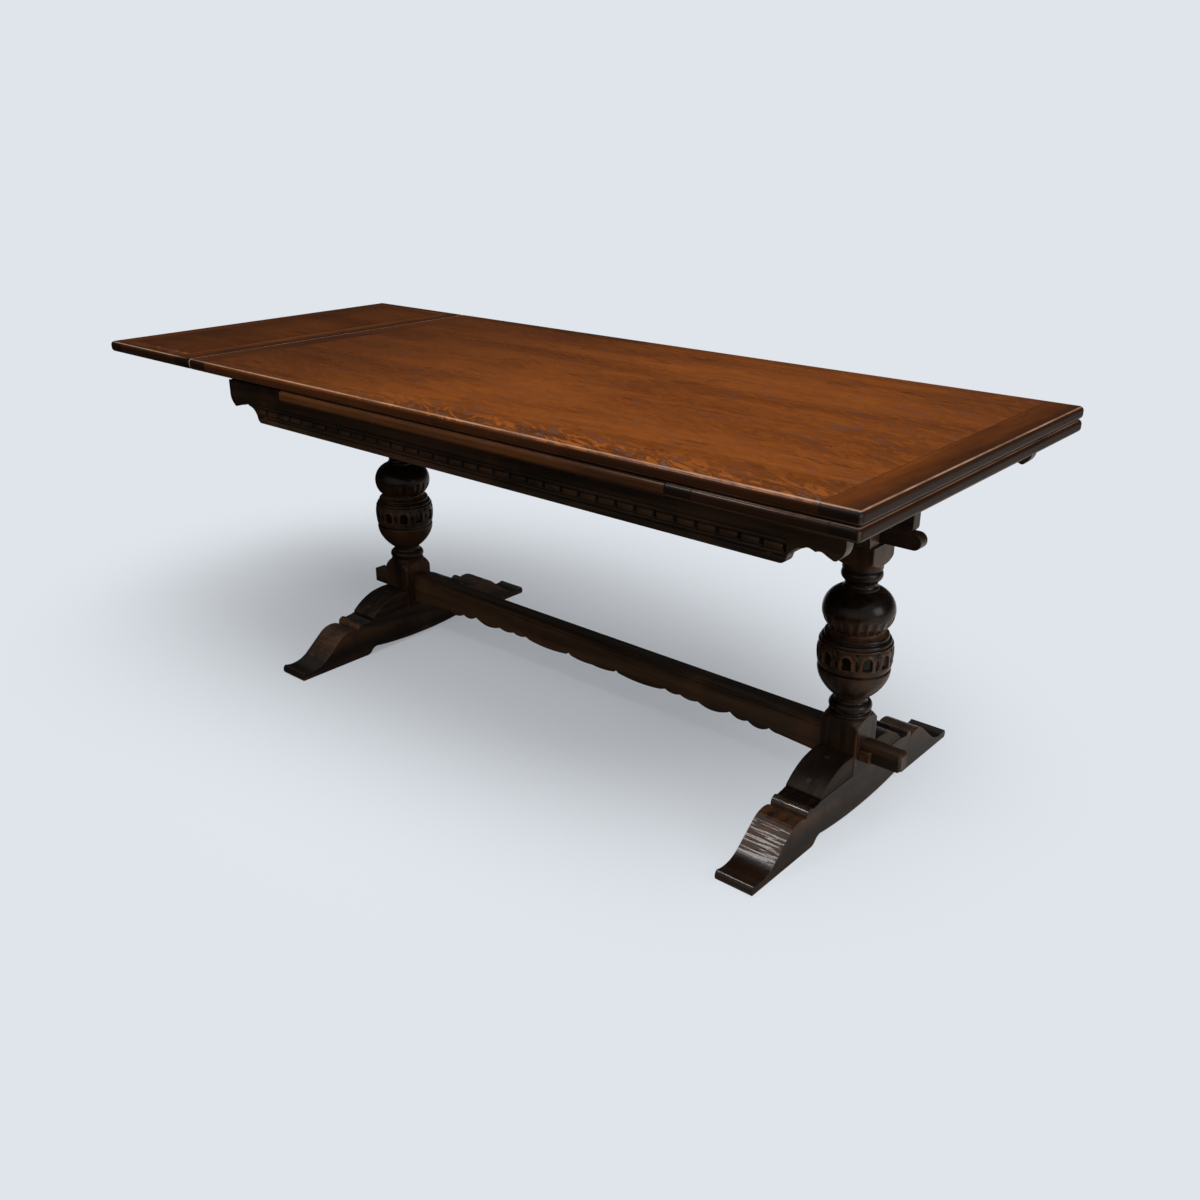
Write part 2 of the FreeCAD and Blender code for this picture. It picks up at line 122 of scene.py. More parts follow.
class NodeTree:
    """A tree of nodes, with short names for those that are used most."""

    def __init__(self, tree: bpy.types.NodeTree) -> None:
        """Start with an empty tree."""
        self.tree = tree
        self.tree.nodes.clear()

    def fill(self, made: bpy.types.Node, inputs: Inputs) -> None:
        """Link a node's inputs to other sockets, or set them to constants.

        Args:
            made: The node.
            inputs: The sockets and constants, by the inputs' names or places.
        """
        for key, value in inputs.items():
            socket = made.inputs[key]
            if isinstance(value, Socket):
                self.tree.links.new(value, socket)
            elif socket.type == "RGBA":
                socket.default_value = (*value, 1.0)
            else:
                socket.default_value = value

    def node(self, kind: str, inputs: Inputs | None = None, **settings: object) -> bpy.types.Node:
        """Add a node.

        Args:
            kind: Its type, without the words that all types start with.
            inputs: What its inputs are linked or set to, by their names or places.
            settings: Its properties.

        Returns:
            The node.
        """
        made = self.tree.nodes.new(f"ShaderNode{kind}")
        for key, value in settings.items():
            setattr(made, key, value)
        self.fill(made, inputs or {})
        return made

    def span(self, value: object, low: float, high: float, to: Range = (0.0, 1.0)) -> Socket:
        """Map a range of a value smoothly onto another range and hold it there."""
        inputs = {"Value": value, "From Min": low, "From Max": high, "To Min": to[0], "To Max": to[1]}
        return self.node("MapRange", inputs, interpolation_type="SMOOTHSTEP").outputs["Result"]

    def calc(self, operation: str, first: object, second: object = 0.0) -> Socket:
        """A calculation with one value or two."""
        return self.node("Math", {0: first, 1: second}, operation=operation).outputs[0]

    def times(self, first: object, second: object) -> Socket:
        """One value times another."""
        return self.calc("MULTIPLY", first, second)

    def larger(self, first: object, second: object) -> Socket:
        """The larger of two values."""
        return self.calc("MAXIMUM", first, second)

    def without(self, share: object, whole: object = 1.0) -> Socket:
        """What is left of a whole without a share of it."""
        return self.calc("SUBTRACT", whole, share)

    def line(self, value: Socket, middle: float, outer: float, inner: float, strength: float) -> Socket:
        """A line along which a value is near a middle: nothing from outer on, full strength within inner."""
        return self.span(self.calc("ABSOLUTE", self.without(middle, value)), outer, inner, (0.0, strength))

    def parts(self, vector: Socket) -> tuple[Socket, Socket, Socket]:
        """The X, Y and Z of a vector."""
        return tuple(self.node("SeparateXYZ", {0: vector}).outputs)

    def glow(self, kind: str, colour: Colour, strength: object = 1.0) -> Socket:
        """A shader that gives light of its own."""
        return self.node(kind, {"Color": colour, "Strength": strength}).outputs[0]

    def blend(self, share: object, first: Socket, second: Socket, output: bpy.types.Node) -> None:
        """Send a mix of two shaders to an output."""
        self.fill(output, {"Surface": self.node("MixShader", {0: share, 1: first, 2: second}).outputs[0]})


class Sheet(NodeTree):
    """A material's tree of nodes, with its shader and output."""

    def __init__(self, name: str) -> None:
        """Start a material that holds a shader and its output."""
        self.material = bpy.data.materials.new(name)
        self.material.use_nodes = True
        super().__init__(self.material.node_tree)
        self.shader = self.node("BsdfPrincipled")
        self.output = self.node("OutputMaterial", {"Surface": self.shader.outputs["BSDF"]})

    def dress(self, colour: Socket, rough: object, sheen_level: float) -> None:
        """Give the shader its colour, its roughness and the strength of its sheen."""
        self.fill(self.shader, {"Base Color": colour, "Roughness": rough, "Specular IOR Level": sheen_level})

    def place(self, scale: Place, shift: Place = (0.0, 0.0, 0.0), slant: float = 0.0) -> Socket:
        """Object coordinates, scaled on each axis.

        Args:
            scale: Repeats per metre on each axis.
            shift: Where the pattern starts.
            slant: How far they are turned in plan before they are scaled, in radians.

        Returns:
            The vector socket.
        """
        where = self.node("TexCoord").outputs["Object"]
        if slant:
            where = self.node("Mapping", {"Vector": where, "Rotation": (0.0, 0.0, slant)}).outputs["Vector"]
        return self.node("Mapping", {"Vector": where, "Scale": scale, "Location": shift}).outputs["Vector"]

    def facing(self) -> tuple[Socket, Socket, Socket]:
        """The way that the surface looks, on X, Y and Z."""
        return self.parts(self.node("NewGeometry").outputs["Normal"])

    def cloud(self, pattern: Pattern, grain: Grain = Grain.ALONG) -> Socket:
        """The strength of a pattern, drawn out along the grain."""
        where = self.place(pattern.turned(grain), pattern.shift, pattern.slant)
        return self.node("TexNoise", {"Vector": where, "Scale": 1.0, "Detail": pattern.detail,
                                      "Roughness": pattern.rough, "Distortion": pattern.bend}).outputs["Fac"]

    def mix(self, factor: object, first: object, second: object) -> Socket:
        """Mix two colours."""
        made = self.node("Mix", {"Factor": factor, "A": first, "B": second}, data_type="RGBA")
        return made.outputs["Result"]

    def mark(self, name: str) -> Socket:
        """The value of a mark that the piece's mesh carries."""
        return self.node("Attribute", attribute_name=name).outputs["Fac"]

    def bump(self, height: object, strength: float, depth: float) -> None:
        """Give the shader a fine relief."""
        relief = self.node("Bump", {"Height": height, "Strength": strength, "Distance": depth})
        self.fill(self.shader, {"Normal": relief.outputs["Normal"]})


OAK_BANDS = Pattern((2.2, 42.0, 42.0), 4.0, 0.6, 0.6)
OAK_PORES = Pattern((28.0, 850.0, 850.0), 2.0, 0.7, 0.0, (3.1, 1.7, 0.4))
OAK_PATCHES = Pattern((5.0, 5.0, 5.0), 3.0, 0.55, 0.3, (1.3, 4.2, 2.9))
OAK_BREAKUP = Pattern((24.0, 24.0, 24.0), 4.0, 0.6)
OAK_RINGS = Pattern((13.0, 270.0, 270.0), 2.0, 0.5, 0.35, (0.3, 0.9, 0.1))
VENEER_BANDS = Pattern((1.2, 6.0, 6.0), 4.0, 0.55, 0.9)
VENEER_LINES = Pattern((7.0, 190.0, 190.0), 3.0, 0.65, 0.4, (2.0, 5.0, 1.0))
VENEER_MOTTLE = Pattern((13.0, 46.0, 46.0), 4.0, 0.62, 0.8, (5.0, 1.0, 3.0))
VENEER_PORES = Pattern((34.0, 620.0, 620.0), 2.0, 0.7, 0.0, (3.1, 1.7, 0.4))
VENEER_FLECKS = Pattern((13.0, 42.0, 5.0), 4.0, 0.66, 1.2, slant=0.42)
VENEER_STREAKS = Pattern((9.0, 34.0, 5.0), 3.0, 0.55, 1.0, (4.0, 2.0, 0.0))
RIM_RAGGED = Pattern((7.0, 9.0, 3.0), 3.0, 0.6)
RIM_BREAKUP = Pattern((7.0, 7.0, 30.0), 4.0, 0.6, 0.5)
LINE_BREAKUP = Pattern((4.0, 4.0, 4.0), 3.0, 0.6)


@dataclass(frozen=True)
class Finish:
    """What the finishes share: their colours, and one material for each way that the grain runs."""

    name: str
    dark: Colour
    light: Colour
    worn: Colour

    def material(self, grain: Grain) -> bpy.types.Material:
        """The finish with its grain along one axis, made once."""
        name = f"{self.name}_{grain.value}"
        return bpy.data.materials.get(name) or self.mixed(Sheet(name), grain)

    def mixed(self, sheet: Sheet, grain: Grain) -> bpy.types.Material:
        """Fill an empty material."""
        raise NotImplementedError


@dataclass(frozen=True)
class OakFinish(Finish):
    """Stained and waxed oak, worn paler on its arrises and darker in its hollows; the same near black is
    painted as shade on the feet's toes and the brackets' tops.

    Its growth rings stand open on faces that slope upwards, where rings is above 0.
    """

    rough: float = 0.34
    sheen_level: float = 0.28
    wear: float = 0.7
    patchy: float = 0.45
    pores: float = 0.35
    hollow_gloss: float = 0.06
    rings: float = 0.0
    ring_rough: float = 0.30
    upright_rough: float = 0.0

    def mixed(self, sheet: Sheet, grain: Grain) -> bpy.types.Material:
        """Bands, pores and rubbed patches along the grain, with the marks of wear and depth.

        Args:
            sheet: The material's nodes.
            grain: The way that the grain runs.

        Returns:
            The filled material.
        """
        deep = sheet.mark("deep")
        patches = sheet.cloud(OAK_PATCHES)
        pores = sheet.span(sheet.cloud(OAK_PORES, grain), 0.60, 0.70, (0.0, self.pores))
        breakup = sheet.span(sheet.cloud(OAK_BREAKUP), 0.35, 0.62)
        colour = sheet.mix(sheet.span(sheet.cloud(OAK_BANDS, grain), 0.36, 0.66), self.dark, self.light)
        colour = sheet.mix(sheet.span(patches, 0.5, 0.72, (0.0, self.patchy)), colour, self.worn)
        colour = sheet.mix(pores, colour, PORE_BLACK)
        arris = sheet.times(sheet.times(sheet.mark("worn"), breakup), self.wear)
        colour = sheet.mix(arris, colour, self.worn)
        # Near black where a piece marks it deep: real in hollows, painted shade on the toes and the brackets'
        # tops.
        colour = sheet.mix(sheet.times(deep, DEEP_SHARE), colour, DEEP_AND_SHADE_BLACK)
        rough = sheet.span(patches, 0.3, 0.7, (self.rough - 0.05, self.rough + 0.08))
        rough = sheet.calc("ADD", rough, sheet.times(deep, -self.hollow_gloss))
        relief, strength = sheet.without(pores), 0.35
        if self.rings > 0:
            upward = sheet.span(sheet.facing()[2], 0.25, 0.5)
            lines = sheet.span(sheet.cloud(OAK_RINGS), 0.47, 0.56, (0.0, self.rings * 2.0))
            open_rings = sheet.times(sheet.times(lines, upward), sheet.span(deep, 0.5, 0.1))
            relief, strength = sheet.without(open_rings, relief), 0.45
            rough = sheet.calc("ADD", rough, sheet.times(sheet.without(upward), self.upright_rough))
            rough = sheet.calc("ADD", rough, sheet.times(open_rings, self.ring_rough))
        sheet.dress(colour, rough, self.sheen_level)
        sheet.bump(relief, strength, 0.5 * MM)
        return sheet.material


@dataclass(frozen=True)
class Board:
    """A board of the top in plan, for the shading that runs along and across it."""

    centre_x: float
    half_length: float
    half_width: float

    def place(self, sheet: Sheet) -> tuple[Socket, Socket]:
        """A point's place along the board and across it, from its middle."""
        return sheet.parts(sheet.place((1.0, 1.0, 1.0), (-self.centre_x, 0.0, 0.0)))[:2]

    def along(self, sheet: Sheet, start: float, end: float, to: Range = (0.0, 1.0)) -> Socket:
        """Map a stretch of the board's length, in shares of half of it, onto a range."""
        return sheet.span(self.place(sheet)[0], self.half_length * start, self.half_length * end, to)

    def across(self, sheet: Sheet, start: float, end: float, to: Range = (0.0, 1.0)) -> Socket:
        """Map a stretch of the board's width, in shares of half of it, onto a range."""
        return sheet.span(self.place(sheet)[1], self.half_width * start, self.half_width * end, to)


@dataclass(frozen=True)
class PolishFinish(Finish):
    """French polished veneer or edging, dark round the board's edges, with painted shade to the left, at the
    far right corner and on faces that do not look up.
    """

    # The dark of the figure, pores and edges, also used for the painted shade.
    figure_and_shade_dark: Colour
    board: Board
    fade: float
    flecks: float
    rough: float = 0.25
    sheen_level: float = 0.14
    fine_lines: float = 0.30
    mottle: float = 0.16
    pores: float = 0.42
    streaks: float = 0.4
    edge_dark: float = 0.8
    # Painted shade towards the left end and towards the far right corner.
    left_painted_shade: float = 0.62
    far_right_painted_shade: Range = (0.12, 0.5)
    # Painted shade on the faces that do not look up, darker towards the right.
    side_painted_shade: Range = (0.30, 0.72)
    side_rough: float = 0.25
    clear_sides: float = 0.0
    # Strength of the painted highlight along the main board's left end, and how far in from the end it lies.
    left_highlight: float = 0.0
    left_highlight_in: float = 8.0 * MM

    def mixed(self, sheet: Sheet, grain: Grain) -> bpy.types.Material:
        """Bands, lines and pores along the grain, darker at the board's edges and paler on its arrises; some
        of the dark is painted shade and some of the pale is painted highlight.

        Args:
            sheet: The material's nodes.
            grain: The way that the grain runs.

        Returns:
            The filled material.
        """
        side = sheet.mark("side")
        bands = sheet.cloud(VENEER_BANDS, grain)
        pores = sheet.span(sheet.cloud(VENEER_PORES, grain), 0.56, 0.68, (0.0, self.pores))
        colour = sheet.mix(sheet.span(bands, 0.28, 0.66), self.dark, self.light)
        for pattern, share in ((VENEER_LINES, self.fine_lines), (VENEER_MOTTLE, self.mottle)):
            figure = sheet.span(sheet.cloud(pattern, grain), 0.45, 0.72, (0.0, share))
            colour = sheet.mix(figure, colour, self.figure_and_shade_dark)
        colour = sheet.mix(pores, colour, self.figure_and_shade_dark)
        if self.flecks > 0 and grain is Grain.ALONG:
            colour = self.with_flecks(sheet, colour)
        colour = sheet.mix(sheet.times(self.outline_shade(sheet), self.edge_dark), colour, self.figure_and_shade_dark)
        # Painted shade on the faces that do not look up: the edges and the underside, darker to the right.
        painted_side_shade = sheet.times(side, self.board.along(sheet, -1.0, 0.6, self.side_painted_shade))
        colour = sheet.mix(painted_side_shade, colour, self.figure_and_shade_dark)
        colour = sheet.mix(sheet.times(sheet.mark("deep"), DEEP_SHARE), colour, JOINT_BLACK)
        # Pale lines on the rounded arrises: partly wear, partly painted highlight.
        breakup = sheet.span(sheet.cloud(RIM_BREAKUP), 0.30, 0.62, (0.3, 1.0))
        worn = sheet.times(sheet.mark("worn"), sheet.times(self.arris(sheet), breakup))
        colour = sheet.mix(worn, colour, self.worn)
        # A painted highlight along the main board's left end, beside the drawn leaf.
        if self.left_highlight > 0:
            colour = sheet.mix(self.left_painted_highlight(sheet), colour, self.worn)
        rough = sheet.span(bands, 0.3, 0.7, (self.rough - 0.03, self.rough + 0.08))
        rough = sheet.calc("ADD", rough, sheet.times(side, self.side_rough))
        sheet.dress(colour, rough, self.sheen_level)
        sheet.bump(sheet.without(pores), 0.18, 0.3 * MM)
        return sheet.material

    def outline_shade(self, sheet: Sheet) -> Socket:
        """How dark a point is: 1 at the rim, and slowly darker to the left and to the far right corner, where
        the slow darkening is painted shade.

        Args:
            sheet: The material's nodes.

        Returns:
            The darkness, from 0 to 1.
        """
        x, y = self.board.place(sheet)
        past_side = sheet.without(self.board.half_width + self.clear_sides, sheet.calc("ABSOLUTE", y))
        outward = sheet.larger(sheet.without(self.board.half_length, x), past_side)
        ragged = sheet.times(sheet.cloud(RIM_RAGGED), self.fade * 0.7)
        rim = sheet.span(sheet.calc("ADD", outward, ragged), -self.fade * 0.75, self.fade * 0.45)
        # Painted shade: slowly darker towards the left end and the far right corner.
        left = self.board.along(sheet, 0.1, -1.0, (0.0, self.left_painted_shade))
        far = self.board.across(sheet, -0.4, 0.9, self.far_right_painted_shade)
        right = self.board.along(sheet, 0.5, 0.95)
        return sheet.larger(rim, sheet.larger(left, sheet.times(far, right)))

    def left_painted_highlight(self, sheet: Sheet) -> Socket:
        """The painted highlight along the board's left end, where it stands beside the drawn leaf.

        Args:
            sheet: The material's nodes.

        Returns:
            The line's strength.
        """
        x, _ = self.board.place(sheet)
        line = sheet.line(x, self.left_highlight_in - self.board.half_length, 4.0 * MM, 2.0 * MM, self.left_highlight)
        return sheet.times(line, sheet.span(sheet.cloud(LINE_BREAKUP), 0.3, 0.6, (0.5, 1.0)))

    @staticmethod
    def arris(sheet: Sheet) -> Socket:
        """Thin pale lines along the upper arris, the lower one and the upright corners of the rounded edge,
        partly wear and partly painted highlight.

        Args:
            sheet: The material's nodes.

        Returns:
            The lines' strength.
        """
        x, y, z = sheet.facing()
        lines = sheet.larger(sheet.line(z, 0.86, 0.13, 0.03, 0.75), sheet.line(z, -0.45, 0.25, 0.05, 0.2))
        corner = sheet.span(sheet.calc("ABSOLUTE", sheet.times(x, y)), 0.34, 0.48, (0.0, 0.3))
        return sheet.larger(lines, sheet.times(corner, sheet.mark("corner")))

    def with_flecks(self, sheet: Sheet, colour: Socket) -> Socket:
        """Add the silver flecks and dark streaks, thickest near the front and the right end.

        Args:
            sheet: The material's nodes.
            colour: The colour so far.

        Returns:
            The colour with both.
        """
        board = self.board
        right = sheet.times(board.along(sheet, 0.2, 1.0), 0.45)
        front = sheet.times(board.across(sheet, -0.72, -0.95), board.along(sheet, -0.6, 0.1, (0.25, 1.0)))
        where = sheet.larger(sheet.larger(right, front), 0.2)
        where = sheet.times(where, sheet.without(sheet.mark("side")))
        streaks = sheet.times(sheet.span(sheet.cloud(VENEER_STREAKS), 0.60, 0.70), self.streaks)
        colour = sheet.mix(streaks, colour, self.figure_and_shade_dark)
        fleck = sheet.cloud(VENEER_FLECKS)
        for (start, full), tint in (((0.52, 0.40), ORANGE_FLECK), ((0.56, 0.62), SILVER_FLECK)):
            share = sheet.times(sheet.times(sheet.span(fleck, start, full), where), self.flecks)
            colour = sheet.mix(share, colour, tint)
        return colour


FRAME_OAK = OakFinish("frame_oak", (0.011, 0.0066, 0.0038), (0.033, 0.018, 0.010), (0.130, 0.052, 0.020))
TURNED_OAK = OakFinish("turned_oak", (0.011, 0.0066, 0.0038), (0.034, 0.019, 0.0108), (0.130, 0.052, 0.020),
                       rough=0.27, sheen_level=0.18)
BOARD_OAK = OakFinish("board_oak", (0.023, 0.0132, 0.0072), (0.074, 0.039, 0.0195), (0.150, 0.060, 0.022))
FOOT_OAK = OakFinish("foot_oak", (0.016, 0.0078, 0.0036), (0.042, 0.020, 0.009), (0.120, 0.048, 0.018),
                     rough=0.20, sheen_level=0.5, rings=0.5, upright_rough=0.30)
BRACKET_OAK = OakFinish("bracket_oak", (0.011, 0.0066, 0.0038), (0.036, 0.020, 0.0115),
                        (0.130, 0.052, 0.020), rough=0.52, sheen_level=0.15)
INNER_OAK = OakFinish("inner_oak", (0.036, 0.019, 0.010), (0.074, 0.040, 0.020), (0.11, 0.062, 0.033),
                      rough=0.55, wear=0.3)
PEG_OAK = OakFinish("peg_oak", (0.034, 0.017, 0.009), (0.085, 0.040, 0.018), (0.18, 0.09, 0.04))


def added(name: str, data: bpy.types.ID) -> bpy.types.Object:
    """A new object in the scene.

    Args:
        name: Its name.
        data: Its mesh, camera or lamp.

    Returns:
        The object.
    """
    made = bpy.data.objects.new(name, data)
    bpy.context.scene.collection.objects.link(made)
    return made


class Piece:
    """One finished wooden piece: a mesh that is shaped first and dressed at the end."""

    def __init__(self, name: str, start: str | None = None) -> None:
        """Start from nothing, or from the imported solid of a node.

        Args:
            name: The piece's name.
            start: The node that its shape is taken from.
        """
        self.name = name
        self.mesh = bmesh.new()
        marks = self.mesh.verts.layers.float
        self.worn, self.deep, self.side, self.corner = map(marks.new, ("worn", "deep", "side", "corner"))
        if start is not None:
            self.mesh.from_mesh(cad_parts[start].data)
            self.tidy()

    def tidy(self) -> None:
        """Join the loose triangles and clear the edges that cross flat faces."""
        bmesh.ops.remove_doubles(self.mesh, verts=self.mesh.verts, dist=SNAP)
        bmesh.ops.dissolve_limit(self.mesh, angle_limit=math.radians(0.6), use_dissolve_boundaries=False,
                                 verts=self.mesh.verts, edges=self.mesh.edges, delimit={"NORMAL"})
        self.mesh.normal_update()

    def soften(self, width: float, corner: float = 32.0) -> None:
        """Round the sharp arrises a little and mark them as worn.

        Args:
            width: How far the rounding reaches, in metres.
            corner: The least angle of an edge that is rounded, in degrees.
        """
        limit = math.radians(corner)
        sharp = [edge for edge in self.mesh.edges
                 if edge.is_manifold and edge.calc_face_angle(0.0) > limit]
        done = bmesh.ops.bevel(self.mesh, geom=sharp, offset=width, offset_type="OFFSET", affect="EDGES",
                               segments=2, profile=0.5, material=-1, clamp_overlap=True)
        strips = set(done["faces"])
        for vert in done["verts"]:
            if all(face in strips for face in vert.link_faces):
                vert[self.worn] = 1.0

    def cut_across(self, places: Sequence[float], axis: int) -> None:
        """Cut every face at some places on one axis, so that points there can be moved.

        Args:
            places: The places, in metres.
            axis: 0, 1 or 2 for X, Y or Z.
        """
        normal = Vector((0.0, 0.0, 0.0))
        normal[axis] = 1.0
        for place in places:
            geometry = [*self.mesh.verts, *self.mesh.edges, *self.mesh.faces]
            bmesh.ops.bisect_plane(self.mesh, geom=geometry, dist=0.001 * MM, plane_co=normal * place,
                                   plane_no=normal)

    def finish(self, body: Body, slot: Slot, finish: Finish, grain: Grain,
               replaced: Sequence[str] = (), sharp: float = 38.0) -> bpy.types.Object:
        """Make the object, dress it and let it ride on its body.

        Args:
            body: The body it rides on.
            slot: The record's finish that it takes; not used.
            finish: Its finish.
            grain: The way that its grain runs.
            replaced: The nodes that it stands for.
            sharp: The least angle between faces that still shows as an edge, in degrees.

        Returns:
            The finished object.
        """
        bmesh.ops.recalc_face_normals(self.mesh, faces=self.mesh.faces)
        data = bpy.data.meshes.new(self.name)
        self.mesh.to_mesh(data)
        self.mesh.free()
        for polygon in data.polygons:
            polygon.use_smooth = True
        data.set_sharp_from_angle(angle=math.radians(sharp))
        made = added(self.name, data)
        data.materials.append(finish.material(grain))
        weighted = made.modifiers.new("even_shading", "WEIGHTED_NORMAL")
        weighted.keep_sharp = True
        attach(made, body.value)
        if replaced:
            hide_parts(*replaced)
        LOG.info("%s: %d faces on %s", self.name, len(data.polygons), body.value)
        return made


def smooth(value: float, low: float, high: float) -> float:
    """A value's place between two others, eased at both ends and held within 0 and 1."""
    share = min(1.0, max(0.0, (value - low) / (high - low)))
    return share * share * (3.0 - 2.0 * share)


@dataclass
class TopBoard:
    """One board of the top: its panel, long bands and end cleats, with rounded outer edges."""

    prefix: str
    body: Body
    board: Board
    panel: PolishFinish
    edging: PolishFinish
    cleats: tuple[str, str]
    met_end: int = 0
    joint: float = 0.9 * MM
    rim: float = 9.0 * MM
    corner_mark: float = 0.7
    joint_mark: float = 0.85

    def mark_edges(self, piece: Piece, cleat: bool) -> None:
        """Mark the rim that wears and takes the painted highlight lines, its sides that take painted shade,
        and the fine joints between the pieces.

        Args:
            piece: One of the board's pieces, with its arrises softened.
            cleat: Whether the piece is a cleat, whose end grain shows at the long edges.
        """
        piece.mesh.normal_update()
        for vert in piece.mesh.verts:
            joint, slope = vert[piece.worn] > 0.5, vert.normal.z
            along = vert.co.x - self.board.centre_x
            at_long_edge = abs(vert.co.y) > self.board.half_width - self.rim
            at_end = abs(along) > self.board.half_length - self.rim
            at_rim = at_long_edge or at_end
            met = at_end and along * self.met_end > 0
            vert[piece.worn] = 1.0 if at_rim and not joint and not met else 0.0
            vert[piece.corner] = self.corner_mark if at_long_edge and at_end and not met else 0.0
            if (joint and not at_rim) or (slope < 0.85 and cleat and at_long_edge):
                vert[piece.deep] = self.joint_mark
            if slope < 0.5:
                vert[piece.side] = 1.0

    def build(self) -> None:
        """Make the five pieces."""
        for part in ("panel", "band_front", "band_back", *self.cleats):
            node = f"{self.prefix}_{part}"
            piece = Piece(f"{node}_oak", node)
            piece.soften(self.joint, 60.0)
            self.mark_edges(piece, "cleat" in part)
            grain = Grain.ACROSS if "cleat" in part else Grain.ALONG
            finish = self.panel if part == "panel" else self.edging
            slot = Slot.VENEER if part == "panel" else Slot.EDGING
            piece.finish(self.body, slot, finish, grain, [node], sharp=50.0)


@dataclass
class PlainPieces:
    """Plain boards, rails and blocks that only need softened arrises."""

    nodes: tuple[str, ...]
    body: Body
    slot: Slot
    finish: Finish
    grain: Grain
    arris_mm: float

    def build(self) -> None:
        """Make each piece from its node."""
        for node in self.nodes:
            piece = Piece(f"{node}_oak", node)
            piece.soften(self.arris_mm * MM)
            piece.finish(self.body, self.slot, self.finish, self.grain, [node])


@dataclass
class Apron:
    """A long apron: a row of low carved blocks between two scratched lines on its outer face."""

    node: str
    side: int
    run: Range = (-712 * MM, 706 * MM)
    pitch: float = 43 * MM
    first_notch: float = 16.7 * MM
    notch: float = 5.4 * MM
    blocks: Range = (645.0 * MM, 658.0 * MM)
    lines: tuple[float, ...] = (638.0 * MM, 666.0 * MM)
    line_wide: float = 4.0 * MM
    sunk: float = 4.2 * MM
    line_share: float = 0.7
    hollow_share: float = 0.65
    arris: float = 1.2 * MM
    block_wear: float = 0.45
    peg_places: Range = (638 * MM, 674 * MM)
    peg_x: float = 678.5 * MM
    peg_size: Range = (4.6 * MM, 2.6 * MM)

    def build(self, middle: float) -> None:
        """Carve the outer face and add the pegs.

        Args:
            middle: Where the middle of the table is, along X.
        """
        piece = Piece(f"{self.node}_carved", self.node)
        piece.soften(self.arris)
        low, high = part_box(self.node)
        face = high.y if self.side > 0 else low.y
        first, last = (math.ceil((end - self.first_notch) / self.pitch) for end in self.run)
        notches = [middle + self.first_notch + self.pitch * step for step in range(first, last)]
        ends = [middle + end for end in self.run]
        inner, step = self.notch * self.hollow_share, self.line_wide / 2
        hollow = (-self.notch, -inner, inner, self.notch)
        piece.cut_across([x + offset for x in notches for offset in hollow] + ends, 0)
        levels = (*self.lines, *self.blocks)
        piece.cut_across([z + offset for z in levels for offset in (-step, 0.0, step)], 2)
        for vert in piece.mesh.verts:
            if abs(vert.co.y - face) > SNAP or not ends[0] < vert.co.x < ends[1]:
                continue
            depth = self.depth(vert.co.x, vert.co.z, notches)
            vert.co.y -= self.side * depth
            vert[piece.deep] = min(1.0, depth / (self.sunk * self.line_share))
            if depth == 0.0 and self.blocks[0] < vert.co.z < self.blocks[1]:
                vert[piece.worn] = self.block_wear
        piece.finish(Body.FRAME, Slot.FRAME, BOARD_OAK, Grain.ALONG, [self.node], sharp=30.0)
        self.pegs(middle, face)

    def depth(self, x: float, z: float, notches: Sequence[float]) -> float:
        """How far a point of the face is cut in: fully between two blocks, less along a line.

        Args:
            x: Its place along the apron.
            z: Its height.
            notches: Where the gaps between blocks are.

        Returns:
            The depth in metres.
        """
        low, high = self.blocks
        if low - NEAR < z < high + NEAR and any(abs(x - notch) < self.notch * 0.7 for notch in notches):
            return self.sunk
        if any(abs(z - line) < NEAR for line in (*self.lines, *self.blocks)):
            return self.sunk * self.line_share
        return 0.0

    def pegs(self, middle: float, face: float) -> None:
        """The peg heads that pin the cross rails, one above the other at each end.

        Args:
            middle: Where the middle of the table is, along X.
            face: Where the outer face is, along Y.
        """
        for end, label in ((-1, "left"), (1, "right")):
            for level, z in enumerate(self.peg_places, 1):
                place = Vector((middle + end * self.peg_x, face, z))
                plug(f"{self.node}_peg_{label}_{level}", place, Vector((0.0, self.side, 0.0)), self.peg_size)


def plug(name: str, place: Vector, along: Vector, size: Range, finish: OakFinish = PEG_OAK) -> None:
    """A small round wooden plug with a softened rim, set into a surface.

    Args:
        name: The piece's name.
        place: Where its axis meets the surface.
        along: The way that its outer end looks.
        size: Its radius and its length.
        finish: Its finish.
    """
    piece = Piece(name)
    radius, length = size
    turn = along.to_track_quat("Z", "Y").to_matrix().to_4x4()
    where = Matrix.Translation(place + along * (length / 2 - PLUG_SUNK)) @ turn
    bmesh.ops.create_cone(piece.mesh, cap_ends=True, segments=24, radius1=radius, radius2=radius,
                          depth=length, matrix=where)
    piece.soften(0.3 * MM)
    piece.finish(Body.FRAME, Slot.PEG, finish, Grain.UPRIGHT)


